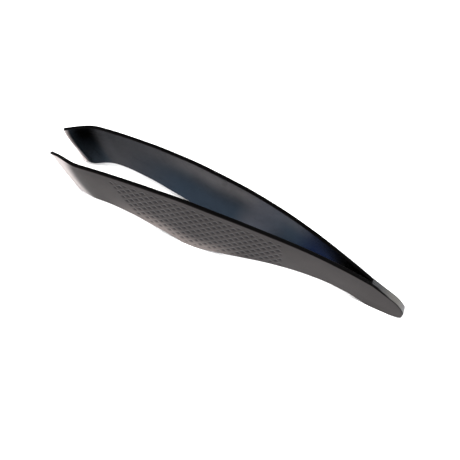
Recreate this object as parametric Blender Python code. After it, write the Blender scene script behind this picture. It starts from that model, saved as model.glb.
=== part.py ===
"""Slant tweezers: two mirror-image spring-steel arms, spot-welded together at the tail.

Every arm is cut as a flat outline, bowed outwards along its length, creased inwards near the
slanted tip and ground thin at the end edge.  An arm is divided at its flexure into the shank,
which is welded to the other shank, and the blade, which swings about an upright axis there.

Frame: +X runs from the tips to the tail, Y is the opening direction, +Z is across the arm.
The tweezers stand on their lower edges.  All the driving dimensions below are millimetres.
"""

import math

import bmesh
import bpy
import numpy as np
from mathutils import Vector

MM = 0.001

# ---- overall --------------------------------------------------------------------------------
LENGTH = 95.0          # end edge to tail end
SHEET = 1.25           # thickness of the sheet the arms are stamped from
JOINT_GAP = 0.3        # clearance kept between two neighbouring solids
EDGE_ROUND = 0.18      # rounding along all the cut edges

# ---- outline of the flat arm: distance from the tip, height above the resting plane -----------
UPPER_EDGE = (
    (0.0, 7.8), (8.0, 10.1), (16.0, 11.6), (26.0, 12.75), (36.0, 13.3), (46.0, 13.2),
    (56.0, 12.6), (66.0, 11.4), (76.0, 9.45), (84.0, 7.35), (90.0, 5.4), (95.0, 3.7),
)
LOWER_EDGE = (
    (0.0, 0.0), (8.1, 0.3), (10.0, 1.15), (14.0, 2.35), (19.0, 2.85), (24.0, 2.8), (34.0, 1.7),
    (37.0, 0.8), (39.5, 0.0), (41.3, 0.0), (46.0, 0.9), (52.0, 2.25), (60.0, 3.6), (66.0, 3.9),
    (72.0, 3.6), (80.0, 2.0), (87.0, 0.0), (91.5, 0.0), (95.0, 0.0),
)
SLANT = 8.1            # how far the end edge leans back between its top and bottom corners
TIP_CORNER = 1.0       # rounding of the bottom corner of the end edge
SLANT_FADE = 34.0      # the cross lines of the arm stand upright again from here on
TAIL_ROUND = 4.0       # length over which the tail is rounded off
TAIL_BLUNT = 0.5       # share of the tail width left at the very end

# ---- bow: distance from the tip, half the space between the arms --------------------------------
BOW = (
    (0.0, 6.60), (8.0, 6.62), (16.0, 6.55), (26.0, 6.30), (36.0, 5.92), (46.0, 5.22),
    (56.0, 4.16), (66.0, 2.72), (76.0, 1.28), (82.0, 0.45), (85.5, 0.15), (95.0, 0.15),
)
# ---- crease: distance from the end edge, share of the crease's full depth -----------------------
CREASE = (
    (0.0, 1.0), (1.0, 0.90), (2.5, 0.68), (4.0, 0.41), (5.5, 0.17), (6.8, 0.04), (8.5, 0.0),
    (110.0, 0.0),
)

# ---- grinding: distance from the end edge, share of the sheet thickness that is left ------------
GROUND = (
    (0.0, 0.30), (3.5, 0.66), (8.0, 0.80), (16.0, 0.88), (30.0, 1.0), (110.0, 1.0),
)

# ---- flexure and welds --------------------------------------------------------------------------
FLEX_X = 77.0          # where an arm bends when it is squeezed
FLEX_DEGREES = 2.9     # how far it bends until the end edges meet
CLOSED_HALF_GAP = 0.1  # what is left between an end edge and the mid-plane then
WELD_X = (87.7, 91.7)  # centres of the two spot welds
WELD_RADIUS = 1.2
WELD_HALF_DEPTH = 0.45

# ---- mesh density -------------------------------------------------------------------------------
BLADE_STEPS = 68
BLADE_CROWDING = 0.6   # share of the stations' spacing that grows with distance from the tip
SHANK_STEPS = 22
CROSS_STEPS = 6


def smooth_line(knots):
    """Return a function through the knots which never swings past them."""
    x, y = (np.array(values, dtype=float) for values in zip(*knots))
    step = np.diff(x)
    slope = np.diff(y) / step
    bend = np.zeros_like(x)
    same_way = slope[:-1] * slope[1:] > 0.0
    before = 2.0 * step[1:] + step[:-1]
    after = step[1:] + 2.0 * step[:-1]
    safe = np.where(same_way, slope[:-1] * slope[1:], 1.0)
    mean = (before + after) * safe / (before * slope[1:] + after * slope[:-1] + 1e-30)
    bend[1:-1] = np.where(same_way, mean, 0.0)
    bend[0] = slope[0]
    bend[-1] = slope[-1]

    def line(at):
        at = np.clip(at, x[0], x[-1])
        i = np.clip(np.searchsorted(x, at, side="right") - 1, 0, len(step) - 1)
        t = (at - x[i]) / step[i]
        return (
            y[i] * (1.0 + 2.0 * t) * (1.0 - t) ** 2
            + bend[i] * step[i] * t * (1.0 - t) ** 2
            + y[i + 1] * t * t * (3.0 - 2.0 * t)
            + bend[i + 1] * step[i] * t * t * (t - 1.0)
        )

    return line


upper_edge = smooth_line(UPPER_EDGE)
lower_edge = smooth_line(LOWER_EDGE)
bow = smooth_line(BOW)
crease = smooth_line(CREASE)
ground = smooth_line(GROUND)


def cross_line(u, v):
    """Distance from the tip of a point at station u and share v of the way up the arm."""
    return u + SLANT * (1.0 - v) * max(0.0, 1.0 - u / SLANT_FADE) ** 2


def corner_lift(u):
    """How far the lower edge rises at station u, where the tip's bottom corner is rounded."""
    inside = max(0.0, TIP_CORNER - u)
    return TIP_CORNER - math.sqrt(TIP_CORNER ** 2 - inside ** 2)


def tail_share(u):
    """Share of the width that is left at station u, where the tail is rounded off."""
    t = max(0.0, (u - (LENGTH - TAIL_ROUND)) / TAIL_ROUND)
    return 1.0 - (1.0 - TAIL_BLUNT) * t ** 2.4


def crease_depth(v):
    """How far the end edge is creased inwards, so that both edges meet evenly when squeezed."""
    edge_x = SLANT * (1.0 - v)
    swing = (FLEX_X - edge_x) * math.tan(math.radians(FLEX_DEGREES))
    return float(bow(edge_x)) - swing - CLOSED_HALF_GAP


def formed_point(u, v):
    """Inner face of the arm on the +Y side, in millimetres from the tip."""
    x = cross_line(u, v)
    top = float(upper_edge(cross_line(u, 1.0)))
    low = float(lower_edge(cross_line(u, 0.0))) + corner_lift(u)
    middle = 0.5 * (top + low)
    z = middle + (v - 0.5) * (top - low) * tail_share(u)
    y = float(bow(x)) - crease_depth(v) * float(crease(x - SLANT * (1.0 - v)))
    return x, y, z


def thickness_share(u, v):
    """Share of the sheet thickness at a point: the tips are ground thin from outside."""
    return float(ground(cross_line(u, v) - SLANT * (1.0 - v)))


def flexure_point(side):
    """The bending axis of the arm on one side, in millimetres from the tip."""
    mid_height = 0.5 * float(upper_edge(FLEX_X) + lower_edge(FLEX_X))
    mid_sheet = float(bow(FLEX_X)) + 0.5 * SHEET
    return Vector((FLEX_X, side * mid_sheet, mid_height))


def placed(point):
    """Turn millimetres from the tip into metres about the middle of the footprint."""
    return Vector(((point[0] - 0.5 * LENGTH) * MM, point[1] * MM, point[2] * MM))


def steel(name, grey, roughness):
    """One Principled steel for one object."""
    material = bpy.data.materials.new(name)
    material.use_nodes = True
    principled = material.node_tree.nodes["Principled BSDF"]
    principled.inputs["Base Color"].default_value = (grey, grey * 0.99, grey * 1.02, 1.0)
    principled.inputs["Metallic"].default_value = 0.85
    principled.inputs["Roughness"].default_value = roughness
    material.diffuse_color = (grey, grey * 0.99, grey * 1.02, 1.0)
    return material


def add_object(name, mesh, origin, material):
    """Link a mesh as a named object standing at its origin."""
    item = bpy.data.objects.new(name, mesh)
    item.location = placed(origin)
    item.data.materials.append(material)
    bpy.context.collection.objects.link(item)
    return item


def sheet_strip(name, side, start, stop, steps, crowding, origin, material):
    """A length of one formed arm, with its stations crowded towards its start."""
    shaping = bmesh.new()
    bmesh.ops.create_grid(shaping, x_segments=steps, y_segments=CROSS_STEPS, size=1.0)
    layer = shaping.verts.layers.deform.verify()
    home = placed(origin)
    for vertex in shaping.verts:
        along = 0.5 * (vertex.co.x + 1.0)
        u = start + (stop - start) * along * (1.0 - crowding + crowding * along)
        v = 0.5 * (vertex.co.y + 1.0)
        x, y, z = formed_point(u, v)
        vertex[layer][0] = thickness_share(u, v)
        vertex.co = placed((x, side * y, z)) - home
    bmesh.ops.recalc_face_normals(shaping, faces=shaping.faces)
    shaping.faces.ensure_lookup_table()
    shaping.normal_update()
    outward = sum(face.normal.y * face.calc_area() for face in shaping.faces) * side
    if outward < 0.0:
        bmesh.ops.reverse_faces(shaping, faces=shaping.faces)
    for face in shaping.faces:
        face.smooth = True
    mesh = bpy.data.meshes.new(name)
    shaping.to_mesh(mesh)
    shaping.free()

    item = add_object(name, mesh, origin, material)
    item.vertex_groups.new(name="thickness")

    gauge = item.modifiers.new("Sheet", "SOLIDIFY")
    gauge.thickness = SHEET * MM
    gauge.offset = 1.0
    gauge.use_even_offset = False
    gauge.vertex_group = "thickness"

    rounding = item.modifiers.new("Edges", "BEVEL")
    rounding.width = EDGE_ROUND * MM
    rounding.segments = 2
    rounding.limit_method = "ANGLE"
    rounding.angle_limit = math.radians(50.0)
    rounding.use_clamp_overlap = False
    return item


def weld_centre(x):
    """Middle of one spot weld, half way up the tail."""
    return Vector((x, 0.0, 0.5 * float(upper_edge(x) + lower_edge(x))))


def weld_nugget(name, x, material):
    """A lens of fused metal between the two shanks."""
    shaping = bmesh.new()
    bmesh.ops.create_uvsphere(shaping, u_segments=32, v_segments=16, radius=1.0)
    for vertex in shaping.verts:
        vertex.co = Vector((
            vertex.co.x * WELD_RADIUS * MM,
            vertex.co.z * WELD_HALF_DEPTH * MM,
            -vertex.co.y * WELD_RADIUS * MM,
        ))
    for face in shaping.faces:
        face.smooth = True
    mesh = bpy.data.meshes.new(name)
    shaping.to_mesh(mesh)
    shaping.free()
    return add_object(name, mesh, weld_centre(x), material)


def weld_pocket(shank, x):
    """Hollow a shank round one nugget, leaving the clearance all about it."""
    cutter_mesh = bpy.data.meshes.new("pocket_tool")
    shaping = bmesh.new()
    bmesh.ops.create_cone(
        shaping, cap_ends=True, segments=32, radius1=(WELD_RADIUS + JOINT_GAP) * MM,
        radius2=(WELD_RADIUS + JOINT_GAP) * MM,
        depth=2.0 * (WELD_HALF_DEPTH + JOINT_GAP) * MM,
    )
    shaping.to_mesh(cutter_mesh)
    shaping.free()
    cutter = bpy.data.objects.new("pocket_tool", cutter_mesh)
    cutter.location = placed(weld_centre(x))
    cutter.rotation_euler = (math.radians(90.0), 0.0, 0.0)
    cutter.hide_render = True
    cutter.display_type = "WIRE"
    bpy.context.collection.objects.link(cutter)

    cut = shank.modifiers.new("Pocket", "BOOLEAN")
    cut.operation = "DIFFERENCE"
    cut.solver = "EXACT"
    cut.object = cutter


def build():
    """Lay out the two arms and their welds."""
    for old in list(bpy.data.objects):
        bpy.data.objects.remove(old, do_unlink=True)

    for name, side in (("left_arm", -1.0), ("right_arm", 1.0)):
        axis = flexure_point(side)
        sheet_strip(
            name + "_blade", side, 0.0, FLEX_X - 0.5 * JOINT_GAP, BLADE_STEPS, BLADE_CROWDING,
            axis, steel(name + "_blade_steel", 0.11, 0.38),
        )
        shank = sheet_strip(
            name + "_shank", side, FLEX_X + 0.5 * JOINT_GAP, LENGTH, SHANK_STEPS, 0.0,
            axis, steel(name + "_shank_steel", 0.14, 0.34),
        )
        for x in WELD_X:
            weld_pocket(shank, x)

    for name, x in zip(("weld_nugget_front", "weld_nugget_rear"), WELD_X):
        weld_nugget(name, x, steel(name + "_steel", 0.42, 0.5))


build()
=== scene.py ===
"""Looks of the slant tweezers: two blackened spring-steel arms, welded and ground at the tail.

Each arm is one continuous sheet, with the recessed diamond grip, the creased and ground tip
and the ground tail band worked into its mesh.  Sizes inside the classes are millimetres
measured from the tips, and become metres in the frame's place at the end.
"""

import logging
import math
from dataclasses import dataclass
from enum import Enum
from typing import Any

import bpy
import numpy as np
from mathutils import Matrix, Vector


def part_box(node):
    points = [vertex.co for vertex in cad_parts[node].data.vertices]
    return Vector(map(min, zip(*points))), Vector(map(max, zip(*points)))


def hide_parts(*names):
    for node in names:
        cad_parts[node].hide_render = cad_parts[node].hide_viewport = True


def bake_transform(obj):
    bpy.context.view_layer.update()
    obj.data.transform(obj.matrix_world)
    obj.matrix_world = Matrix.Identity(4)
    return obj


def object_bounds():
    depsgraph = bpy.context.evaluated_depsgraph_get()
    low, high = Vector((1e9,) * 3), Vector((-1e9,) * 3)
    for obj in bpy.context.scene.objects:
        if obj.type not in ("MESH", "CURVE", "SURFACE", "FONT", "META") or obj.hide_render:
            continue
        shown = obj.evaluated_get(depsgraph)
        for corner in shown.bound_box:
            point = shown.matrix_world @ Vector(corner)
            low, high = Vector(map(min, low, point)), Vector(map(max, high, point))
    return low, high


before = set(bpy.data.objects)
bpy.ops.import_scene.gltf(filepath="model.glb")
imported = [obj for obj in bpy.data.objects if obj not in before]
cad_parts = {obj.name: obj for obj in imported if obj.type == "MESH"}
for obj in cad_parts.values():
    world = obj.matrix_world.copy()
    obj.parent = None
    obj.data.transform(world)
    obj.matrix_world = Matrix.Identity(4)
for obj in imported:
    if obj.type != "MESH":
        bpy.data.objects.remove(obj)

LOG = logging.getLogger("tweezers")
MM = 0.001
CAD_BOX = [list(corner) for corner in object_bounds()]
Span = tuple[float, float]
Knots = tuple[Span, ...]
Triple = tuple[float, float, float]
Colour = Triple


# ---- shader tools -------------------------------------------------------------------------------


class Signal:
    """A number, colour or vector on its way through a shader, with sums written as Python."""

    def __init__(self, bench: "Bench", socket: bpy.types.NodeSocket) -> None:
        """Wrap one output socket of the bench's node tree."""
        self.bench = bench
        self.socket = socket

    def _sum(self, operation: str, left: Any, right: Any) -> "Signal":
        """Add one Math node and return its result."""
        return self.bench.node(
            "ShaderNodeMath", {"operation": operation}, {0: left, 1: right}, "Value"
        )

    def __add__(self, other: Any) -> "Signal":
        """Return self + other."""
        return self._sum("ADD", self, other)

    def __radd__(self, other: Any) -> "Signal":
        """Return other + self."""
        return self._sum("ADD", other, self)

    def __sub__(self, other: Any) -> "Signal":
        """Return self - other."""
        return self._sum("SUBTRACT", self, other)

    def __rsub__(self, other: Any) -> "Signal":
        """Return other - self."""
        return self._sum("SUBTRACT", other, self)

    def __mul__(self, other: Any) -> "Signal":
        """Return self * other."""
        return self._sum("MULTIPLY", self, other)

    def __rmul__(self, other: Any) -> "Signal":
        """Return other * self."""
        return self._sum("MULTIPLY", other, self)


class Bench:
    """The node tree of one material or world, built through one method."""

    def __init__(self, tree: bpy.types.NodeTree) -> None:
        """Clear a node tree and work in it."""
        self.tree = tree
        tree.nodes.clear()

    def node(
        self,
        kind: str,
        settings: dict[str, Any],
        inputs: dict[Any, Any],
        output: str | None = None,
    ) -> Signal | None:
        """Add a node, set it up, then fill or link its sockets.

        Args:
            kind: the node's type.
            settings: the node's own settings, such as an operation.
            inputs: a value or a Signal for each socket, by index, name or identifier.
            output: the name or identifier of the socket to hand back.

        Returns:
            The output as a Signal, or None where no output is asked for.
        """
        made = self.tree.nodes.new(kind)
        for name, value in settings.items():
            setattr(made, name, value)
        for key, value in inputs.items():
            socket = self._find(made.inputs, key)
            if isinstance(value, Signal):
                self.tree.links.new(value.socket, socket)
            elif isinstance(value, tuple) and len(value) == 3 and socket.type == "RGBA":
                socket.default_value = (*value, 1.0)
            else:
                socket.default_value = value
        return Signal(self, self._find(made.outputs, output)) if output else None

    @staticmethod
    def _find(sockets: Any, key: Any) -> bpy.types.NodeSocket:
        """Return the socket with an index, identifier or name."""
        if isinstance(key, int):
            return sockets[key]
        for socket in sockets:
            if socket.identifier == key:
                return socket
        return sockets[key]

    def attribute(self, name: str, output: str = "Fac") -> Signal:
        """Return a value that the mesh itself carries."""
        settings = {"attribute_type": "GEOMETRY", "attribute_name": name}
        return self.node("ShaderNodeAttribute", settings, {}, output)

    def noise(self, where: Signal, scale: Triple, detail: float, roughness: float) -> Signal:
        """Add cloud noise.

        Args:
            where: the coordinates that it is worked out on.
            scale: how often it repeats per unit along each axis.
            detail: how many finer layers it has.
            roughness: how strong they are.

        Returns:
            Its value, about 0.5 on average.
        """
        stretched = self.node(
            "ShaderNodeVectorMath", {"operation": "MULTIPLY"}, {0: where, 1: scale}, "Vector"
        )
        return self.node(
            "ShaderNodeTexNoise",
            {"noise_dimensions": "3D"},
            {"Vector": stretched, "Scale": 1.0, "Detail": detail, "Roughness": roughness},
            "Fac",
        )

    def rise(self, value: Signal, low: float, high: float) -> Signal:
        """Return 0 below low and 1 above high, with a smooth step between them."""
        return self.node(
            "ShaderNodeMapRange",
            {"interpolation_type": "SMOOTHSTEP"},
            {"Value": value, "From Min": low, "From Max": high},
            "Result",
        )

    def largest(self, first: Signal, second: Signal) -> Signal:
        """Return the larger of two numbers."""
        return self.node("ShaderNodeMath", {"operation": "MAXIMUM"}, {0: first, 1: second}, "Value")

    def scaled(self, colour: Any, tone: Signal) -> Signal:
        """Return a colour made lighter or darker by a number that varies."""
        return self.node(
            "ShaderNodeVectorMath", {"operation": "SCALE"}, {0: colour, "Scale": tone}, "Vector"
        )

    def mix(self, share: Any, first: Any, second: Any) -> Signal:
        """Return the colour that lies a share of the way from first to second."""
        return self.node(
            "ShaderNodeMix",
            {"data_type": "RGBA"},
            {"Factor_Float": share, "A_Color": first, "B_Color": second},
            "Result_Color",
        )

    def blend(self, share: Any, first: Any, second: Any) -> Signal:
        """Return the number that lies a share of the way from first to second."""
        return self.node(
            "ShaderNodeMix",
            {"data_type": "FLOAT"},
            {"Factor_Float": share, "A_Float": first, "B_Float": second},
            "Result_Float",
        )


# ---- finishes -----------------------------------------------------------------------------------


@dataclass(frozen=True)
class BlackedSteel:
    """Satin black oxide on spring steel, with bare ground facets at the tip and the tail.

    The inside is painted with light, shade and reflections: painted light in grey along the
    upper edge, painted blue and pale reflections below it, painted shade in navy where the arms
    close and nearly black in the corner, and painted teal reflection and black shade on the bent
    tip.  Outside, painted shade darkens the upper part, the pits and the cut edges, and the lower
    edge of the grip is painted lighter, partly as wear and partly as a painted highlight of the
    white table.  A pair gives where a colour starts to come or go and where that is complete:
    distances from the tips, distances behind the end edge for the bent tip, or shares of the
    width where the name says across.  The tip's facet is only half a metal, so that it stays pale
    from every side.  Cloud noise on the sheet's own millimetres gives it a mottle, a fine grain,
    and the strokes that grinding leaves across the bare facets.
    """

    outside: Colour = (0.0330, 0.0303, 0.0304)
    # Painted highlight of the white table along the grip's lower edge, together with wear there.
    handled: Colour = (0.130, 0.112, 0.107)
    # Painted shade in the grip's pits.
    pit: Colour = (0.0180, 0.0170, 0.0185)
    # Painted shade: near-black cut edges, for the dark room above that they reflect.
    cut_edge_shade: Colour = (0.0012, 0.0009, 0.0009)
    inside: Colour = (0.0253, 0.0258, 0.0288)
    # Painted light, reflections and shade of the inside: lit grey along the upper edge, blue and
    # pale reflections, navy and black shade where the arms close, teal reflection on the bent tip.
    inside_upper_light: Colour = (0.112, 0.107, 0.112)
    inside_blue_reflection: Colour = (0.0120, 0.0190, 0.0290)
    inside_pale_reflection: Colour = (0.048, 0.052, 0.066)
    inside_navy_shade: Colour = (0.0002, 0.0035, 0.0165)
    inside_black_shade: Colour = (0.0002, 0.0002, 0.0004)
    tip_teal_reflection: Colour = (0.0165, 0.0215, 0.0280)
    tip_facet: Colour = (0.40, 0.355, 0.345)
    band_front: Colour = (0.13, 0.13, 0.135)
    band_rear: Colour = (0.28, 0.266, 0.248)
    outside_roughness: float = 0.42
    inside_roughness: float = 0.28
    edge_roughness: float = 0.34
    ground_roughness: float = 0.36
    metal: float = 0.96
    facet_metal: float = 0.5
    mottle_scale: Triple = (0.11, 0.16, 1.0)
    grain_scale: Triple = (9.0, 14.0, 9.0)
    strokes_scale: Triple = (0.5, 16.0, 6.0)
    mottle_tone: float = 0.5
    grain_tone: float = 0.25
    least_tone: float = 0.62
    band_strokes: float = 0.5
    facet_strokes: float = 0.3
    mottle_roughness: float = 0.08
    grain_roughness: float = 0.10
    grain_height: float = 0.6
    faint_strokes: float = 0.15
    bump_strength: float = 0.10
    bump_distance: float = 0.00004
    # Painted shade over the upper part of the outside.
    upper_shade: float = 0.13
    # How much of the pits' painted shade fades where the lower edge is painted lighter.
    pit_shade_fade: float = 0.45
    grey_loss: float = 0.35
    pale_share: float = 0.75
    blue_share: float = 0.7
    teal_share: float = 0.7
    darker_across: Span = (0.45, 0.95)
    band_pales: Span = (86.0, 92.0)
    band_greys: Span = (92.5, 95.0)
    # Where the inside's painted light, reflections and shade lie.
    grey_across: Span = (0.45, 0.95)
    grey_starts: Span = (18.0, 46.0)
    grey_wanes: Span = (50.0, 59.0)
    blue_across: Span = (0.35, 0.95)
    blue_starts: Span = (14.0, 34.0)
    blue_returns: Span = (50.0, 62.0)
    pale_starts: Span = (46.0, 53.0)
    pale_ends: Span = (56.0, 62.0)
    navy_starts: Span = (61.0, 69.0)
    black_starts: Span = (72.0, 77.5)
    bent_fade: Span = (5.0, 7.0)
    bent_black_across: Span = (0.25, 0.80)
    bent_teal_fade: Span = (0.8, 3.6)

    def material(self) -> bpy.types.Material:
        """Build the arms' material.

        Returns:
            The material, which reads the arms' own attributes for where each finish lies.
        """
        made = bpy.data.materials.new("blacked_steel")
        made.use_nodes = True
        bench = Bench(made.node_tree)
        sheet = bench.attribute("sheet", "Vector")
        rim = bench.attribute("rim")
        ground = bench.largest(bench.attribute("facet"), bench.attribute("band"))

        mottle = bench.noise(sheet, self.mottle_scale, detail=3.0, roughness=0.55)
        grain = bench.noise(sheet, self.grain_scale, detail=2.0, roughness=0.6)
        strokes = bench.noise(sheet, self.strokes_scale, detail=2.0, roughness=0.55)
        across = bench.attribute("across")
        along = bench.attribute("along")

        # The lower edge of the outside is painted lighter: partly wear, partly a painted highlight
        # of the table.
        outside = bench.mix(bench.attribute("handled"), self.outside, self.handled)
        # Painted shade: the upper part of the outside is darker.
        darker = bench.rise(across, *self.darker_across) * self.upper_shade
        outside = bench.scaled(outside, 1.0 - darker)
        # Painted shade in the pits, weaker where the lower edge is painted lighter.
        pit = bench.attribute("pit") * (1.0 - bench.attribute("handled") * self.pit_shade_fade)
        outside = bench.mix(pit, outside, self.pit)
        face = bench.mix(bench.attribute("inside"), outside, self._inside(bench, along, across))
        # Painted shade on the cut edges and on a border along the upper edge of the outside.
        face = bench.mix(rim, face, self.cut_edge_shade)
        tone = mottle * self.mottle_tone + grain * self.grain_tone + self.least_tone
        face = bench.scaled(face, tone)
        band = bench.mix(bench.rise(along, *self.band_pales), self.band_front, self.band_rear)
        band = bench.mix(bench.rise(along, *self.band_greys), band, self.band_front)
        band = bench.scaled(band, strokes * self.band_strokes + (1.0 - 0.5 * self.band_strokes))
        face = bench.mix(bench.attribute("band"), face, band)
        tone = strokes * self.facet_strokes + (1.0 - 0.5 * self.facet_strokes)
        facet = bench.scaled(self.tip_facet, tone)
        face = bench.mix(bench.attribute("facet"), face, facet)

        rough = bench.blend(
            bench.attribute("inside"), self.outside_roughness, self.inside_roughness
        )
        rough = bench.blend(rim, rough, self.edge_roughness)
        rough = bench.blend(ground, rough, self.ground_roughness)
        rough = rough + (grain - 0.5) * self.grain_roughness
        rough = rough + (mottle - 0.5) * self.mottle_roughness

        height = grain * self.grain_height
        height = height + strokes * bench.blend(ground, self.faint_strokes, 1.0)
        bump = bench.node(
            "ShaderNodeBump",
            {},
            {"Height": height, "Strength": self.bump_strength, "Distance": self.bump_distance},
            "Normal",
        )
        surface = bench.node(
            "ShaderNodeBsdfPrincipled",
            {},
            {
                "Base Color": face,
                "Metallic": bench.blend(bench.attribute("facet"), self.metal, self.facet_metal),
                "Roughness": rough,
                "Normal": bump,
                "IOR": 1.4,
            },
            "BSDF",
        )
        bench.node("ShaderNodeOutputMaterial", {}, {"Surface": surface})
        return made

    def _inside(self, bench: "Bench", along: Signal, across: Signal) -> Signal:
        """Return the inside's colour: painted light, shade and reflections along and across the
        arm.

        Args:
            bench: the material's bench.
            along: millimetres from the tips.
            across: share of the way from the lower to the upper edge.

        Returns:
            The colour at each point of the inside.
        """
        # Painted light: grey along the upper edge, fading towards the tail.
        grey = bench.rise(across, *self.grey_across) * bench.rise(along, *self.grey_starts)
        grey = grey * (1.0 - bench.rise(along, *self.grey_wanes) * self.grey_loss)
        base = bench.mix(grey, self.inside, self.inside_upper_light)
        # Painted reflections: blue below the upper edge, pale between, blue again further back.
        above_blue = bench.rise(across, *self.blue_across)
        blue = bench.rise(along, *self.blue_starts) * (1.0 - above_blue)
        past_pale = bench.rise(along, *self.pale_ends)
        pale = bench.rise(along, *self.pale_starts) * (1.0 - past_pale)
        base = bench.mix(blue * (1.0 - pale), base, self.inside_blue_reflection)
        base = bench.mix(pale * self.pale_share, base, self.inside_pale_reflection)
        late_blue = bench.rise(along, *self.blue_returns) * self.blue_share
        base = bench.mix(late_blue, base, self.inside_blue_reflection)
        # Painted shade where the arms close: navy, then nearly black in the corner.
        base = bench.mix(bench.rise(along, *self.navy_starts), base, self.inside_navy_shade)
        base = bench.mix(bench.rise(along, *self.black_starts), base, self.inside_black_shade)
        # The bent tip: painted black shade towards its top corner and painted teal reflection near
        # the end edge.
        from_edge = bench.attribute("from_edge")
        bent = 1.0 - bench.rise(from_edge, *self.bent_fade)
        black = bench.rise(across, *self.bent_black_across)
        tip = bench.mix(black, self.tip_teal_reflection, self.inside_black_shade)
        near_edge = 1.0 - bench.rise(from_edge, *self.bent_teal_fade)
        tip = bench.mix(near_edge * self.teal_share, tip, self.tip_teal_reflection)
        return bench.mix(bent, base, tip)


@dataclass(frozen=True)
class FusedSteel:
    """The bare, slightly crystalline steel of a spot weld."""

    light: Colour = (0.46, 0.46, 0.47)
    dark: Colour = (0.22, 0.20, 0.19)
    roughness: float = 0.48
    roughness_range: float = 0.2
    crystals_per_metre: float = 3500.0
    bump_strength: float = 0.4
    bump_distance: float = 0.00003

    def material(self) -> bpy.types.Material:
        """Build the weld's material.

        Returns:
            The material, with its grain on Object coordinates.
        """
        made = bpy.data.materials.new("fused_steel")
        made.use_nodes = True
        bench = Bench(made.node_tree)
        where = bench.node("ShaderNodeTexCoord", {}, {}, "Object")
        scale = (self.crystals_per_metre,) * 3
        crystals = bench.noise(where, scale, detail=4.0, roughness=0.6)
        least_roughness = self.roughness - 0.5 * self.roughness_range
        bump = bench.node(
            "ShaderNodeBump",
            {},
            {
                "Height": crystals,
                "Strength": self.bump_strength,
                "Distance": self.bump_distance,
            },
            "Normal",
        )
        surface = bench.node(
            "ShaderNodeBsdfPrincipled",
            {},
            {
                "Base Color": bench.mix(crystals, self.dark, self.light),
                "Metallic": 1.0,
                "Roughness": crystals * self.roughness_range + least_roughness,
                "Normal": bump,
            },
            "BSDF",
        )
        bench.node("ShaderNodeOutputMaterial", {}, {"Surface": surface})
        return made


# ---- shape tools --------------------------------------------------------------------------------


def ease(value: np.ndarray, low: float, high: float) -> np.ndarray:
    """Return 0 below low and 1 above high, with the smooth step 3t^2 - 2t^3 between them."""
    t = np.clip((value - low) / (high - low), 0.0, 1.0)
    return t * t * (3.0 - 2.0 * t)


@dataclass(frozen=True)
class Line:
    """A smooth line through knots, which never swings past them.

    Attributes:
        knots: (distance, height) pairs.
        softness: standard deviation, in millimetres, of the averaging that rounds its bends.
    """

    knots: Knots
    softness: float = 0.0

    STEP = 0.1

    def __call__(self, at: np.ndarray) -> np.ndarray:
        """Return the heights at an array of distances."""
        where, height = self._table()
        return np.interp(at, where, height)

    def _table(self) -> tuple[np.ndarray, np.ndarray]:
        """Return the line sampled finely: cubic pieces, averaged with a bell curve.

        Between two knots the height is the cubic whose end slopes are the weighted harmonic
        means of the slopes of the chords on both sides, or 0 at a peak or a trough.

        Returns:
            The distances and the height at each.
        """
        x, y = (np.array(values) for values in zip(*self.knots))
        step = np.diff(x)
        slope = np.diff(y) / step
        product = slope[:-1] * slope[1:]
        before = 2.0 * step[1:] + step[:-1]
        after = step[1:] + 2.0 * step[:-1]
        weight = before * slope[1:] + after * slope[:-1]
        mean = np.where(product > 0.0, (before + after) * product / (weight + 1e-30), 0.0)
        bend = np.concatenate(([slope[0]], mean, [slope[-1]]))

        reach = 4.0 * self.softness
        where = np.arange(x[0] - reach, x[-1] + reach + self.STEP, self.STEP)
        inside = np.clip(where, x[0], x[-1])
        i = np.clip(np.searchsorted(x, inside, side="right") - 1, 0, len(step) - 1)
        t = (inside - x[i]) / step[i]
        height = (
            y[i] * (1.0 + 2.0 * t) * (1.0 - t) ** 2
            + bend[i] * step[i] * t * (1.0 - t) ** 2
            + y[i + 1] * t * t * (3.0 - 2.0 * t)
            + bend[i + 1] * step[i] * t * t * (t - 1.0)
        )
        height += (where - inside) * np.where(where < x[0], bend[0], bend[-1])
        if self.softness > 0.0:
            arm = int(3.0 * self.softness / self.STEP)
            bell = np.exp(-0.5 * (np.arange(-arm, arm + 1) * self.STEP / self.softness) ** 2)
            padded = np.pad(height, arm, mode="reflect", reflect_type="odd")
            height = np.convolve(padded, bell / bell.sum(), mode="valid")
        return where, height


class Side(Enum):
    """Which arm: the sign of its side of the plane between the arms."""

    LEFT = -1.0
    RIGHT = 1.0

    @property
    def body(self) -> str:
        """Return the name of the body that this arm's blade belongs to."""
        return f"{self.name.lower()}_arm"


# ---- the grip -----------------------------------------------------------------------------------


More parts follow.
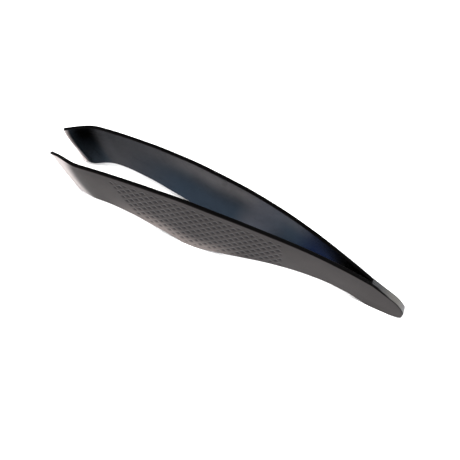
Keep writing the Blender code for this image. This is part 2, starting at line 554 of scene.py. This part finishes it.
@dataclass(frozen=True)
class DiamondGrip:
    """Rows of diamond-shaped pits pressed into the outside of an arm.

    Attributes:
        pitch_along: distance between pits in one row.
        pitch_across: twice the distance between neighbouring rows, which are staggered.
        lean: how far each pit lies behind the one below it, for each millimetre of height.
        offset: how far the whole pattern is moved along the arm.
        depth: how deep a pit is.
        ridge: share of a cell taken up by the level ridge round each pit.
        front: where the field starts, at the height given by level.
        front_slope: how much further back the front lies for each millimetre lower.
        rear: where the field ends, at the same height.
        rear_slope: how much further back the rear end lies for each millimetre lower.
        level: the height that front and rear are given at.
        upper_margin: plain border along the upper edge.
        lower_margin: plain border along the lower edge.
        fade: how gently the pits die out at the borders.
        floor: share of a cell, from its middle, that is the flat floor of the pit.
    """

    pitch_along: float = 2.345
    pitch_across: float = 1.814
    lean: float = 0.131
    offset: float = 0.15
    depth: float = 0.17
    ridge: float = 0.16
    front: float = 14.2
    front_slope: float = 1.30
    rear: float = 60.2
    rear_slope: float = 0.35
    level: float = 11.5
    upper_margin: float = 1.0
    lower_margin: float = 0.55
    fade: float = 0.7
    floor: float = 0.12

    def field(self, x: np.ndarray, z: np.ndarray, low: np.ndarray, top: np.ndarray) -> np.ndarray:
        """Mark the field of pits.

        Args:
            x: distances from the tips.
            z: heights above the resting plane.
            low: heights of the lower edge there.
            top: heights of the upper edge there.

        Returns:
            1 inside the field and 0 outside it: the distance to the nearest border, eased in.
        """
        drop = self.level - z
        borders = (
            x - (self.front + self.front_slope * drop),
            (self.rear + self.rear_slope * drop) - x,
            z - low - self.lower_margin,
            top - z - self.upper_margin,
        )
        return ease(np.minimum.reduce(borders), 0.0, self.fade)

    def pits(self, x: np.ndarray, z: np.ndarray) -> np.ndarray:
        """Work out how deep the pattern is at each point.

        With p = x / along + z / across and q = x / along - z / across, pits lie where p and q
        are whole numbers, and the distance to the nearest ridge is 0.5 minus the larger of
        their distances to a whole number.

        Args:
            x: distances from the tips.
            z: heights above the resting plane.

        Returns:
            0 on a ridge, 1 in a pit.
        """
        leaned = (x + self.lean * z - self.offset) / self.pitch_along
        p = leaned + z / self.pitch_across
        q = leaned - z / self.pitch_across
        off = np.maximum(np.abs(p - np.round(p)), np.abs(q - np.round(q)))
        return 1.0 - ease(off, self.floor, 0.5 - 0.5 * self.ridge)


# ---- the arm ------------------------------------------------------------------------------------


@dataclass(frozen=True)
class ArmShape:
    """The formed sheet of one arm, in millimetres from the tips and above the resting plane.

    Attributes:
        length: from the tips to the tail's end.
        sheet: thickness of the sheet that the arm is stamped from.
        slant: how far the end edge leans back from its top corner to its bottom corner.
        slant_fade: where the cross lines of the arm stand upright again.
        end_swell: power of the end edge's curve, 1 for a straight edge.
        tip_corner: how far the tip's bottom corner is rounded up.
        tip_corner_reach: how long that rounding is.
        tail_reach: where the sheet ends at the tail.
        tail_round: how long the rounding of the tail is.
        tail_narrowing: share of the width that is lost at its very end.
        tail_narrowing_above: share of that loss which is taken from above.
        top_corner_share: share of the thickness that is left at the tip's top corner.
        top_corner: shares of the width between which it thickens to that.
        flex_x: where the arm bends when it is squeezed.
        flex_degrees: how far it bends until the end edges meet.
        closed_half_gap: what is left between an end edge and the middle plane then.
        weld_softness: how softly the bow closes onto the middle plane.
        crown: how far the middle of the width stands out.
        crown_starts: distances behind the end edge between which the crown rises.
        crown_ends: distances from the tips between which it flattens.
        twist: how far the upper edge of the blade leans out and the lower edge leans in.
        twist_starts: distances behind the end edge between which the twist rises.
        twist_ends: distances from the tips between which it dies out.
        upper: height of the upper edge, by distance from the tips.
        lower: height of the lower edge, by distance from the tips.
        bow: half the space between the arms, by distance from the tips.
        crease: share of the crease's depth that is reached, by distance behind the end edge.
        ground: share of the thickness that is left, by distance behind the end edge.
    """

    length: float = 95.0
    sheet: float = 1.25
    slant: float = 8.1
    slant_fade: float = 34.0
    end_swell: float = 1.35
    tip_corner: float = 1.5
    tip_corner_reach: float = 4.4
    tail_reach: float = 95.35
    tail_round: float = 4.2
    tail_narrowing: float = 0.57
    tail_narrowing_above: float = 0.61
    top_corner_share: float = 0.74
    top_corner: Span = (0.84, 1.0)
    flex_x: float = 77.0
    flex_degrees: float = 2.9
    closed_half_gap: float = 0.1
    weld_softness: float = 0.12
    crown: float = 0.16
    crown_starts: Span = (2.0, 14.0)
    crown_ends: Span = (60.0, 82.0)
    twist: float = 0.25
    twist_starts: Span = (1.0, 8.0)
    twist_ends: Span = (20.0, 40.0)
    upper: Line = Line(
        (
            (0.0, 7.9), (3.0, 9.12), (8.0, 10.40), (16.0, 11.72), (26.0, 12.85), (36.0, 13.38),
            (46.0, 13.3), (56.0, 12.7), (66.0, 11.5), (76.0, 9.55), (84.0, 7.48), (90.0, 5.5),
            (95.0, 3.8),
        ),
        0.8,
    )
    lower: Line = Line(
        (
            (0.0, 0.0), (8.1, 0.30), (10.0, 0.95), (14.0, 2.08), (19.0, 2.62), (24.0, 2.42),
            (30.0, 1.60), (34.0, 1.02), (36.4, 0.56), (38.4, 0.06), (40.7, 0.0), (43.4, 0.36),
            (46.0, 0.9), (52.0, 2.25), (60.0, 3.6), (66.0, 3.9), (72.0, 3.6), (80.0, 2.0),
            (87.0, 0.0), (91.5, 0.0), (95.0, 0.0),
        ),
        0.35,
    )
    bow: Line = Line(
        (
            (0.0, 6.50), (8.0, 6.50), (16.0, 6.42), (26.0, 6.22), (36.0, 5.90), (46.0, 5.22),
            (56.0, 4.16), (66.0, 2.72), (76.0, 1.25), (81.0, 0.54), (85.0, 0.0), (95.0, -1.35),
        ),
        1.8,
    )
    crease: Line = Line(
        (
            (0.0, 1.0), (1.0, 0.84), (2.5, 0.61), (4.0, 0.36), (5.5, 0.14), (6.8, 0.03),
            (8.5, 0.0), (110.0, 0.0),
        ),
        0.35,
    )
    ground: Line = Line(
        (
            (0.0, 0.26), (1.0, 0.58), (2.5, 0.76), (8.0, 0.88), (16.0, 0.94), (30.0, 1.0),
            (110.0, 1.0),
        ),
        0.2,
    )

    def end_edge(self, v: np.ndarray) -> np.ndarray:
        """Return x = slant (1 - v)^swell of the end edge, which is very slightly bowed."""
        return self.slant * np.clip(1.0 - v, 0.0, 1.0) ** self.end_swell

    def along(self, u: np.ndarray, v: np.ndarray) -> np.ndarray:
        """Return x = u + end_edge(v) (1 - u / fade)^2: cross lines lean near the tip."""
        return u + self.end_edge(v) * np.clip(1.0 - u / self.slant_fade, 0.0, 1.0) ** 2

    def from_edge(self, u: np.ndarray, v: np.ndarray) -> np.ndarray:
        """Return the distance along x from the slanted end edge."""
        return self.along(u, v) - self.end_edge(v)

    def thickness(self, u: np.ndarray, v: np.ndarray) -> np.ndarray:
        """Work out how thick the sheet is.

        Args:
            u: station along the arm, 0 at the end edge.
            v: share of the way from the lower edge to the upper edge.

        Returns:
            The sheet times the share that grinding leaves, which is raised to a least share
            at the end edge's top corner.
        """
        share = self.ground(self.from_edge(u, v))
        lacking = np.clip(self.top_corner_share - share, 0.0, 1.0)
        return self.sheet * (share + lacking * ease(v, *self.top_corner))

    def limits(self, u: np.ndarray) -> tuple[np.ndarray, np.ndarray]:
        """Work out the heights of both edges.

        The tip's bottom corner is a parabola, corner (1 - u / reach)^2, which meets the slanted
        end edge and the lower edge smoothly.  The tail narrows by t^2.4 of its last stretch,
        more from above than from below, so that its end is a blunt round.

        Args:
            u: stations along the arm.

        Returns:
            The heights of the lower and of the upper edge.
        """
        top = self.upper(self.along(u, np.ones_like(u)))
        fade = np.clip(1.0 - u / self.tip_corner_reach, 0.0, 1.0)
        low = self.lower(self.along(u, np.zeros_like(u))) + self.tip_corner * fade**2
        t = np.clip((u - (self.tail_reach - self.tail_round)) / self.tail_round, 0.0, 1.0)
        narrowing = self.tail_narrowing * t**2.4 * (top - low)
        above = self.tail_narrowing_above
        return low + (1.0 - above) * narrowing, top - above * narrowing

    def inner_face(self, u: np.ndarray, v: np.ndarray) -> np.ndarray:
        """Return points of the right arm's inner face.

        Args:
            u: station along the arm, 0 at the end edge.
            v: share of the way from the lower edge to the upper edge.

        Returns:
            An array with a last axis of x, y, z.  y is the bow, less the crease towards the
            end edge, plus a shallow crown 1 - (2v - 1)^2 across the width and a slight twist
            2v - 1 of the blade.  Where the bow would cross the middle plane, the soft limit
            (y + sqrt(y^2 + softness^2)) / 2 closes it onto the other arm.
        """
        x = self.along(u, v)
        low, top = self.limits(u)
        z = low + v * (top - low)
        edge_x = self.end_edge(v)
        swing = (self.flex_x - edge_x) * math.tan(math.radians(self.flex_degrees))
        depth = self.bow(edge_x) - swing - self.closed_half_gap
        edge = self.from_edge(u, v)
        crown = self.crown * (1.0 - (2.0 * v - 1.0) ** 2) * (1.0 - ease(x, *self.crown_ends))
        crown = crown * ease(edge, *self.crown_starts)
        twist = self.twist * (2.0 * v - 1.0) * ease(edge, *self.twist_starts)
        twist = twist * (1.0 - ease(x, *self.twist_ends))
        y = self.bow(x) - depth * self.crease(edge) + crown + twist
        y = 0.5 * (y + np.sqrt(y**2 + self.weld_softness**2))
        return np.stack([x, y, z], axis=-1)

    def outward(self, u: np.ndarray, v: np.ndarray) -> np.ndarray:
        """Work out which way the sheet's thickness lies.

        Args:
            u: station along the arm.
            v: share of the way up the width.

        Returns:
            Unit normals of the inner face, pointing away from the other arm: the cross product
            of the differences of the face across and along the arm.
        """
        small = 0.02
        du = self.inner_face(u + small, v) - self.inner_face(u - small, v)
        dv = self.inner_face(u, v + small) - self.inner_face(u, v - small)
        normal = np.cross(dv, du)
        return normal / np.linalg.norm(normal, axis=-1, keepdims=True)


@dataclass(frozen=True)
class FinishLayout:
    """Where each finish lies on an arm, in millimetres or in shares of the width.

    A pair gives where a change starts and where it is complete.

    Attributes:
        facet_fade: distance behind the end edge where the ground facet dies out, outside.
        facet_share: how bare that facet is.
        facet_on_rim: how much of it the lower cut edge takes.
        end_fade: stations over which the bare end edge dies out.
        lip_fade: distance behind the end edge where the bare lip inside dies out.
        lip_least: how bare the lip is at the bottom corner.
        lip_rise: shares of the width over which it becomes wholly bare.
        black_corner: shares of the width over which the top corner of the tips turns black.
        band_start: where the ground band along the tail's edges starts.
        band_left: depth below the left arm's outside that the band starts from, at its front.
        band_left_widens: how much nearer to the outside it starts at the tail.
        band_widens: distances from the tips between which it widens.
        band_right: the same depth on the right arm.
        band_soft: how far each side of that depth the band fades.
        tail_start: where the ground tail end starts.
        tail_depth: depth below the outside over which it starts.
        pale_corner_start: where the right arm's upper outer corner starts to take the band's paler
            colour.
        pale_corner_depth: depth below the outside over which that colour dies out.
        wear_and_highlight_starts: where the lower edge of the outside starts to be painted lighter,
            partly as wear and partly as a painted highlight of the white table.
        wear_and_highlight_ends: where it ends.
        wear_and_highlight_height: distance above the lower edge over which it dies out.
        wear_and_highlight_power: how quickly it does.
        border_soft: how far each side of the edge of the painted-shade border the border fades.
        border_thins: where the border thins out towards the tail.
        border_loss: the share of it that is lost there.
    """

    facet_fade: Span = (3.6, 6.6)
    facet_share: float = 0.6
    facet_on_rim: float = 0.6
    end_fade: Span = (0.13, 0.26)
    lip_fade: Span = (-0.2, 1.25)
    lip_least: float = 0.55
    lip_rise: Span = (0.3, 0.8)
    black_corner: Span = (0.95, 0.99)
    band_start: Span = (84.6, 84.9)
    band_left: float = 0.85
    band_left_widens: float = 0.60
    band_widens: Span = (84.5, 91.5)
    band_right: float = 0.04
    band_soft: Span = (0.10, 0.14)
    tail_start: Span = (94.8, 95.3)
    tail_depth: Span = (0.1, 0.3)
    pale_corner_start: Span = (69.0, 75.0)
    pale_corner_depth: Span = (0.15, 0.40)
    wear_and_highlight_starts: Span = (16.0, 32.0)
    wear_and_highlight_ends: Span = (42.0, 54.0)
    wear_and_highlight_height: Span = (0.2, 4.6)
    wear_and_highlight_power: float = 1.3
    border_soft: float = 0.06
    border_thins: Span = (82.0, 86.0)
    border_loss: float = 0.8


@dataclass
class Arm:
    """One arm as a closed sheet.

    Attributes:
        side: which arm it is.
        shape: the formed sheet.
        grip: the pattern on its outside.
        origin_x: where the tips lie in the frame, in metres.
        weld_boxes: the corners of the weld nuggets that the inner face makes room for.
        layout: where the finishes lie.
        outer_points: points up the outside of a section.
        inner_points: points up its inside.
        rim_points: points through each cut edge.
        corner_points: points round each corner.
        end_rings: rings of points round each end's rounding.
        upper_round: rounding of the upper outer corner, in millimetres like every size below.
        lower_round: rounding of the lower outer corner.
        inner_round: rounding of both inner corners.
        least_round: what is left of that where the arms are welded.
        tail_edge_round: rounding of the outer corners there.
        seam: distances from the tips between which the roundings change to that.
        round_share: the most of the thickness that a rounding takes.
        shaded_border: width of the border of painted shade along the upper edge of the outside.
        tip_round: rounding of the end edge.
        tail_end_round: rounding of the tail's end.
        weld_clearance: room left round the nuggets.
        blend_ahead: how far ahead of the flexure the arm would start to bend; not used.
        blend_behind: how far behind it the arm would stay still; not used.
    """

    side: Side
    shape: ArmShape
    grip: DiamondGrip
    origin_x: float
    weld_boxes: list[tuple[Vector, Vector]]

    layout: FinishLayout = FinishLayout()
    outer_points: int = 96
    inner_points: int = 30
    rim_points: int = 5
    corner_points: int = 5
    end_rings: int = 7
    upper_round: float = 0.17
    lower_round: float = 0.14
    inner_round: float = 0.07
    least_round: float = 0.004
    tail_edge_round: float = 0.08
    seam: Span = (83.6, 85.6)
    round_share: float = 0.42
    shaded_border: float = 0.22
    tip_round: float = 0.13
    tail_end_round: float = 0.40
    weld_clearance: float = 0.06
    blend_ahead: float = 9.0
    blend_behind: float = 6.5

    def stations(self) -> tuple[np.ndarray, np.ndarray]:
        """Choose the stations along the arm, with rounded rings at both ends.

        Returns:
            The stations, and how far each section is drawn in for the rounding of the ends:
            r - sqrt(r^2 - d^2), where d is how far a station reaches into a rounding r.
        """
        tail_start = self.shape.tail_reach - self.tail_end_round
        turn = np.sin(np.linspace(0.0, 0.5 * math.pi, self.end_rings))
        # Where each stretch starts and ends, and how far apart its stations stand.
        stretches = (
            (self.tip_round, 1.5, 0.09), (1.5, 12.0, 0.25), (12.0, 64.0, 0.20),
            (64.0, 83.5, 0.40), (83.5, 86.0, 0.10), (86.0, tail_start, 0.22),
        )
        middle = [
            np.linspace(start, end, max(2, round((end - start) / step) + 1))[1:]
            for start, end, step in stretches
        ]
        tip = self.tip_round * (1.0 - turn[::-2])
        tail = tail_start + self.tail_end_round * turn[1:]
        u = np.concatenate([tip, *middle, tail])
        tip_reach = np.clip(self.tip_round - u, 0.0, self.tip_round)
        tail_reach = np.clip(u - tail_start, 0.0, self.tail_end_round)
        inset = (
            self.tip_round - np.sqrt(self.tip_round**2 - tip_reach**2)
            + self.tail_end_round - np.sqrt(self.tail_end_round**2 - tail_reach**2)
        )
        return u, inset

    def section(
        self, width: np.ndarray, thick: np.ndarray, rounds: tuple[np.ndarray, ...]
    ) -> tuple[np.ndarray, np.ndarray, dict[str, np.ndarray]]:
        """Lay out a rounded rectangle at each station.

        Args:
            width: width of the sheet at each station.
            thick: its thickness there.
            rounds: rounding of the inner, the upper outer and the lower outer edges.

        Returns:
            Distances up the width and through the thickness for every point, and the weights
            that say which points lie on the inside, the outside and the cut edges.
        """
        w, t = width[:, None], thick[:, None]
        ri, ru, rl = (edge[:, None] for edge in rounds)
        quarter = np.linspace(0.0, 0.5 * math.pi, self.corner_points + 2)[None, 1:-1]
        sine, cosine = np.sin(quarter), np.cos(quarter)
        up = np.linspace(0.0, 1.0, self.inner_points)[None, :]
        down = np.linspace(1.0, 0.0, self.outer_points)[None, :]
        rim = np.linspace(0.0, 1.0, self.rim_points)[None, :]
        one = np.ones_like(w)
        parts: tuple[tuple[np.ndarray, np.ndarray, dict[str, float]], ...] = (
            (ri + up * (w - 2.0 * ri), 0.0 * up * one, {"inside": 1.0}),
            (w - ri + ri * sine, ri - ri * cosine, {"rim": 1.0}),
            (w * np.ones_like(rim), ri + rim * (t - ri - ru), {"rim": 1.0}),
            (w - ru + ru * cosine, t - ru + ru * sine, {"rim": 1.0, "upper_corner": 1.0}),
            (rl + down * (w - ru - rl), t * np.ones_like(down), {"outside": 1.0}),
            (rl - rl * sine, t - rl + rl * cosine, {"rim": 0.4}),
            (0.0 * rim * one, t - rl - rim * (t - ri - rl), {"rim": 1.0}),
            (ri - ri * cosine, ri - ri * sine, {"rim": 1.0}),
        )
        counts = [part[0].shape[1] for part in parts]
        marks = {
            name: np.repeat([part[2].get(name, 0.0) for part in parts], counts)[None, :]
            for name in ("inside", "outside", "rim", "upper_corner")
        }
        a = np.concatenate([part[0] for part in parts], axis=1)
        b = np.concatenate([part[1] for part in parts], axis=1)
        return a, b, marks

    def weld_room(self, x: np.ndarray, z: np.ndarray) -> np.ndarray:
        """Work out how far the inner face stands back round the weld nuggets.

        Each hollow is half an ellipsoid, depth sqrt(1 - (r / radius)^2), a little larger than
        the nugget inside it.

        Args:
            x: distances from the tips.
            z: heights above the resting plane.

        Returns:
            The depth of the hollows at each point, 0 between them.
        """
        room = np.zeros_like(x)
        for low, high in self.weld_boxes:
            centre = 0.5 * (low + high)
            radius = 0.5 * (high.x - low.x) / MM + self.weld_clearance
            depth = 0.5 * (high.y - low.y) / MM + self.weld_clearance
            from_centre = np.hypot(x - (centre.x - self.origin_x) / MM, z - centre.z / MM) / radius
            room = np.maximum(room, depth * np.sqrt(np.clip(1.0 - from_centre**2, 0.0, 1.0)))
        return room

    def build(self) -> bpy.types.Object:
        """Work out the arm's surface and hand it back as an object.

        A point of the surface is inner_face(u, v) + outward(u, v) * b, where v is the distance
        a up the section over its width, and b is the distance through the sheet, less the
        depth of the grip on the outside and plus the room for the welds on the inside.

        Returns:
            The mesh object, at the origin, with the attributes that its material reads.
        """
        shape = self.shape
        u, inset = self.stations()
        low, top = shape.limits(u)
        lean = shape.along(u, np.zeros_like(u)) - shape.along(u, np.ones_like(u))
        width = np.hypot(top - low, lean)
        thick = shape.thickness(u, np.full_like(u, 0.5))
        seamless = 1.0 - ease(u, *self.seam)
        rounds = (
            self.inner_round * seamless + self.least_round,
            self.tail_edge_round + (self.upper_round - self.tail_edge_round) * seamless,
            self.tail_edge_round + (self.lower_round - self.tail_edge_round) * seamless,
        )
        rounds = tuple(np.minimum(edge, self.round_share * thick) for edge in rounds)
        a, b, marks = self.section(width, thick, rounds)

        pull = inset[:, None]
        a = pull + a * (width[:, None] - 2.0 * pull) / width[:, None]
        inner_pull = np.where(u[:, None] > 0.5 * shape.length, 0.0, pull)
        b = inner_pull + b * (thick[:, None] - pull - inner_pull) / thick[:, None]

        grid_u = np.repeat(u[:, None], a.shape[1], axis=1)
        v = a / width[:, None]
        inner = shape.inner_face(grid_u, v)
        x, z = inner[..., 0], inner[..., 2]
        b = b * shape.thickness(grid_u, v) / thick[:, None]
        through = b
        gripped = self.grip.field(x, z, low[:, None], top[:, None])
        pit = self.grip.pits(x, z) * gripped * marks["outside"]
        b = b - self.grip.depth * pit + self.weld_room(x, z) * marks["inside"]
        points = inner + shape.outward(grid_u, v) * b[..., None]

        made = self._mesh(points)
        layers = self._finishes(grid_u, v, width[:, None], through, marks) | {"pit": pit}
        for name, values in layers.items():
            attribute = made.data.attributes.new(name, "FLOAT", "POINT")
            attribute.data.foreach_set("value", values.astype(np.float32).ravel())
        sheet = np.stack([grid_u, a, through], axis=-1).astype(np.float32)
        attribute = made.data.attributes.new("sheet", "FLOAT_VECTOR", "POINT")
        attribute.data.foreach_set("vector", sheet.ravel())
        return made

    def _mesh(self, points: np.ndarray) -> bpy.types.Object:
        """Skin the sections with quads, close both ends, and place the mesh in the frame.

        Args:
            points: stations by section points by x, y, z, in millimetres from the tips.

        Returns:
            The arm's object.
        """
        rings, count, _ = points.shape
        placed = points.reshape(-1, 3) * MM
        placed[:, 0] += self.origin_x
        placed[:, 1] *= self.side.value
        i = np.arange(rings - 1)[:, None] * count
        j = np.arange(count)[None, :]
        k = (j + 1) % count
        quads = np.stack([i + j, i + k, i + count + k, i + count + j], axis=-1).reshape(-1, 4)
        first = np.arange(count)
        last = (rings - 1) * count + np.arange(count)
        faces = quads.tolist() + [first[::-1].tolist(), last.tolist()]
        if self.side is Side.RIGHT:
            faces = [face[::-1] for face in faces]
        mesh = bpy.data.meshes.new(self.side.body)
        mesh.from_pydata(placed, [], faces)
        mesh.shade_smooth()
        mesh.update()
        made = bpy.data.objects.new(self.side.body + "_sheet", mesh)
        bpy.context.scene.collection.objects.link(made)
        return made

    def _finishes(
        self,
        u: np.ndarray,
        v: np.ndarray,
        width: np.ndarray,
        through: np.ndarray,
        marks: dict[str, np.ndarray],
    ) -> dict[str, np.ndarray]:
        """Work out where each finish lies.

        Args:
            u: station of each point.
            v: share of the width of each point.
            width: width of the sheet at each station.
            through: distance of each point from the inner face.
            marks: weights of the parts of the section.

        Returns:
            The values of each attribute that the material reads.
        """
        lay = self.layout
        x = self.shape.along(u, v)
        edge = self.shape.from_edge(u, v)
        lower_side = marks["outside"] + marks["rim"] * (1.0 - v) * lay.facet_on_rim
        facet = lay.facet_share * (1.0 - ease(edge, *lay.facet_fade)) * lower_side
        facet = facet * (1.0 - marks["upper_corner"])
        below_corner = 1.0 - ease(v, *lay.black_corner)
        end = (1.0 - ease(u, *lay.end_fade)) * below_corner
        lip = (1.0 - ease(edge, *lay.lip_fade)) * marks["inside"] * below_corner
        lip = lip * (lay.lip_least + (1.0 - lay.lip_least) * ease(v, *lay.lip_rise))
        facet = np.maximum(facet, np.maximum(end, lip))

        from_outside = self.shape.sheet - through
        on_rim = marks["rim"] > 0.0
        if self.side is Side.LEFT:
            skirt = lay.band_left - lay.band_left_widens * ease(x, *lay.band_widens)
        else:
            skirt = np.full_like(x, lay.band_right)
        above, below = lay.band_soft
        band = ease(x, *lay.band_start) * ease(from_outside, skirt - above, skirt + below)
        tail_end = ease(u, *lay.tail_start) * ease(from_outside, *lay.tail_depth)
        band = np.maximum(band * on_rim, tail_end)
        # The right arm's upper outer corner takes the band's paler colour from here back.
        if self.side is Side.RIGHT:
            pale_corner = ease(x, *lay.pale_corner_start) * on_rim * (v > 0.5)
            band = np.maximum(band, pale_corner * (1.0 - ease(from_outside, *lay.pale_corner_depth)))

        # Where the lower edge of the outside is painted lighter: partly wear, partly a painted
        # highlight of the white table below it.
        handled = ease(x, *lay.wear_and_highlight_starts) * (1.0 - ease(x, *lay.wear_and_highlight_ends))
        height = 1.0 - ease(v * width, *lay.wear_and_highlight_height)
        handled = handled * marks["outside"] * height**lay.wear_and_highlight_power
        # Painted shade: a border along the upper edge of the outside takes the cut edges' near
        # black, thinning towards the tail.
        border = self.shaded_border * (1.0 - lay.border_loss * ease(x, *lay.border_thins))
        from_top = (1.0 - v) * width
        border_line = ease(from_top, border - lay.border_soft, border + lay.border_soft)
        rim = np.maximum(marks["outside"] * (1.0 - border_line), marks["rim"])
        full = np.ones_like(u)
        return {
            "along": x,
            "across": v,
            "from_edge": edge,
            "inside": marks["inside"] * full,
            "rim": rim,
            "facet": facet * full,
            "band": band * full,
            "handled": handled,
        }

    def finish(self, made: bpy.types.Object, material: bpy.types.Material) -> None:
        """Dress the arm, and let it stand for its blade and shank, which it hides.

        Args:
            made: the arm's object.
            material: the finish that it takes.
        """
        made.data.materials.append(material)
        name = self.side.body
        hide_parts(name + "_blade", name + "_shank")
        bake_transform(made)


# ---- welds, studio ------------------------------------------------------------------------------


@dataclass
class TailWelds:
    """The two nuggets of fused steel between the arms."""

    nodes: tuple[str, ...] = ("weld_nugget_front", "weld_nugget_rear")

    def boxes(self) -> list[tuple[Vector, Vector]]:
        """Return the lowest and highest corners of each nugget, in metres."""
        return [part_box(name) for name in self.nodes]

    def dress(self, material: bpy.types.Material) -> None:
        """Give the nuggets their finish in place of the plain one they arrive with.

        Args:
            material: the finish that they take.
        """
        for name in self.nodes:
            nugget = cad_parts[name]
            if not nugget.material_slots:
                nugget.data.materials.append(material)
            for slot in nugget.material_slots:
                slot.material = material
            LOG.info("%s dressed", name)


@dataclass(frozen=True)
class Softbox:
    """One large soft light: where it stands, how large it is, and how bright."""

    name: str
    place: tuple[float, float, float]
    size: float
    watts: float
    tint: Colour = (1.0, 1.0, 1.0)

    def light(self, target: Vector) -> None:
        """Hang the light.

        Args:
            target: the point that it faces.
        """
        lamp = bpy.data.lights.new(self.name, "AREA")
        lamp.shape = "SQUARE"
        lamp.size = self.size
        lamp.energy = self.watts
        lamp.color = self.tint
        hung = bpy.data.objects.new(self.name, lamp)
        hung.location = self.place
        hung.rotation_euler = (target - hung.location).to_track_quat("-Z", "Y").to_euler()
        bpy.context.scene.collection.objects.link(hung)


@dataclass
class Studio:
    """A white table, soft lights and the camera.

    Attributes:
        azimuth: which way the camera looks, in degrees from the opening direction.
        elevation: how far down it looks, in degrees.
        roll: how far it is turned about its line of sight, in degrees.
        distance: how far it stands from the point that it aims at, in metres.
        lens: its focal length, in millimetres.
        aim: the point that it aims at, in metres.
        floor_half: half the side of the table, in metres.
        softboxes: the lights.
    """

    azimuth: float = 1.62
    elevation: float = 47.0
    roll: float = -25.11
    distance: float = 0.400
    lens: float = 127.3
    aim: tuple[float, float, float] = (-0.00003, -0.00147, 0.00513)
    floor_half: float = 3.0
    softboxes: tuple[Softbox, ...] = (
        Softbox("overhead_left", (-0.55, -0.35, 0.95), 0.9, 20.0, (1.0, 0.985, 0.97)),
        Softbox("front_right", (0.70, -0.75, 0.75), 0.8, 11.0, (0.99, 0.99, 1.0)),
        Softbox("overhead", (0.0, -0.15, 1.50), 1.3, 30.0, (1.0, 1.0, 1.0)),
        Softbox("low_left", (-0.55, -0.60, 0.20), 0.35, 4.0, (1.0, 0.985, 0.97)),
    )

    def camera(self) -> None:
        """Aim the camera: fwd = (sin a cos e, cos a cos e, -sin e), turned by the roll."""
        a, e, r = (math.radians(angle) for angle in (self.azimuth, self.elevation, self.roll))
        forward = Vector((math.sin(a) * math.cos(e), math.cos(a) * math.cos(e), -math.sin(e)))
        right = forward.cross(Vector((0.0, 0.0, 1.0))).normalized()
        up = right.cross(forward)
        turned_up = up * math.cos(r) + right * math.sin(r)
        turned_right = forward.cross(turned_up)
        place = Vector(self.aim) - forward * self.distance
        axes = Matrix((turned_right, turned_up, -forward)).transposed().to_4x4()
        data = bpy.data.cameras.new("camera")
        data.lens = self.lens
        data.sensor_width = 36.0
        data.clip_start = 0.01
        data.clip_end = 20.0
        camera = bpy.data.objects.new("camera", data)
        camera.matrix_world = Matrix.Translation(place) @ axes
        bpy.context.scene.collection.objects.link(camera)
        bpy.context.scene.camera = camera

    def floor(self, height: float) -> None:
        """Lay the white table.

        Args:
            height: the level of its top, in metres.
        """
        h = self.floor_half
        mesh = bpy.data.meshes.new("table")
        corners = [(-h, -h, height), (h, -h, height), (h, h, height), (-h, h, height)]
        mesh.from_pydata(corners, [], [(0, 1, 2, 3)])
        material = bpy.data.materials.new("white_table")
        material.use_nodes = True
        bench = Bench(material.node_tree)
        surface = bench.node(
            "ShaderNodeBsdfPrincipled",
            {},
            {"Base Color": (0.92, 0.92, 0.92), "Roughness": 0.9, "Specular IOR Level": 0.1},
            "BSDF",
        )
        bench.node("ShaderNodeOutputMaterial", {}, {"Surface": surface})
        mesh.materials.append(material)
        table = bpy.data.objects.new("table", mesh)
        bpy.context.scene.collection.objects.link(table)

    def surroundings(self) -> None:
        """Set a dim room for the light to come from, which the camera sees as white."""
        world = bpy.data.worlds.new("room")
        bpy.context.scene.world = world
        world.use_nodes = True
        bench = Bench(world.node_tree)
        seen = bench.node("ShaderNodeLightPath", {}, {}, "Is Camera Ray")
        room = bench.node(
            "ShaderNodeBackground", {}, {"Color": (0.95, 0.97, 1.0), "Strength": 0.5}, "Background"
        )
        backdrop = bench.node(
            "ShaderNodeBackground", {}, {"Color": (1.0, 1.0, 1.0), "Strength": 1.0}, "Background"
        )
        both = bench.node("ShaderNodeMixShader", {}, {0: seen, 1: room, 2: backdrop}, "Shader")
        bench.node("ShaderNodeOutputWorld", {}, {"Surface": both})

    def set_up(self, height: float) -> None:
        """Set the table, lights, room and camera round the object.

        Args:
            height: the level that the object rests on, in metres.
        """
        self.floor(height)
        for box in self.softboxes:
            box.light(Vector((0.0, 0.0, 0.0)))
        self.surroundings()
        self.camera()
        bpy.context.scene.view_settings.view_transform = "Standard"


def main() -> None:
    """Build the tweezers round the frame and set the studio."""
    logging.basicConfig(level=logging.INFO, format="%(message)s")
    low, high = (Vector(corner) for corner in CAD_BOX)
    shape = ArmShape()
    origin_x = high.x - shape.length * MM
    welds = TailWelds()
    welds.dress(FusedSteel().material())
    steel = BlackedSteel().material()
    for side in Side:
        arm = Arm(side, shape, DiamondGrip(), origin_x, welds.boxes())
        made = arm.build()
        arm.finish(made, steel)
        LOG.info("%s: %d faces", made.name, len(made.data.polygons))
    Studio().set_up(low.z)


if __name__ == "__main__":
    main()
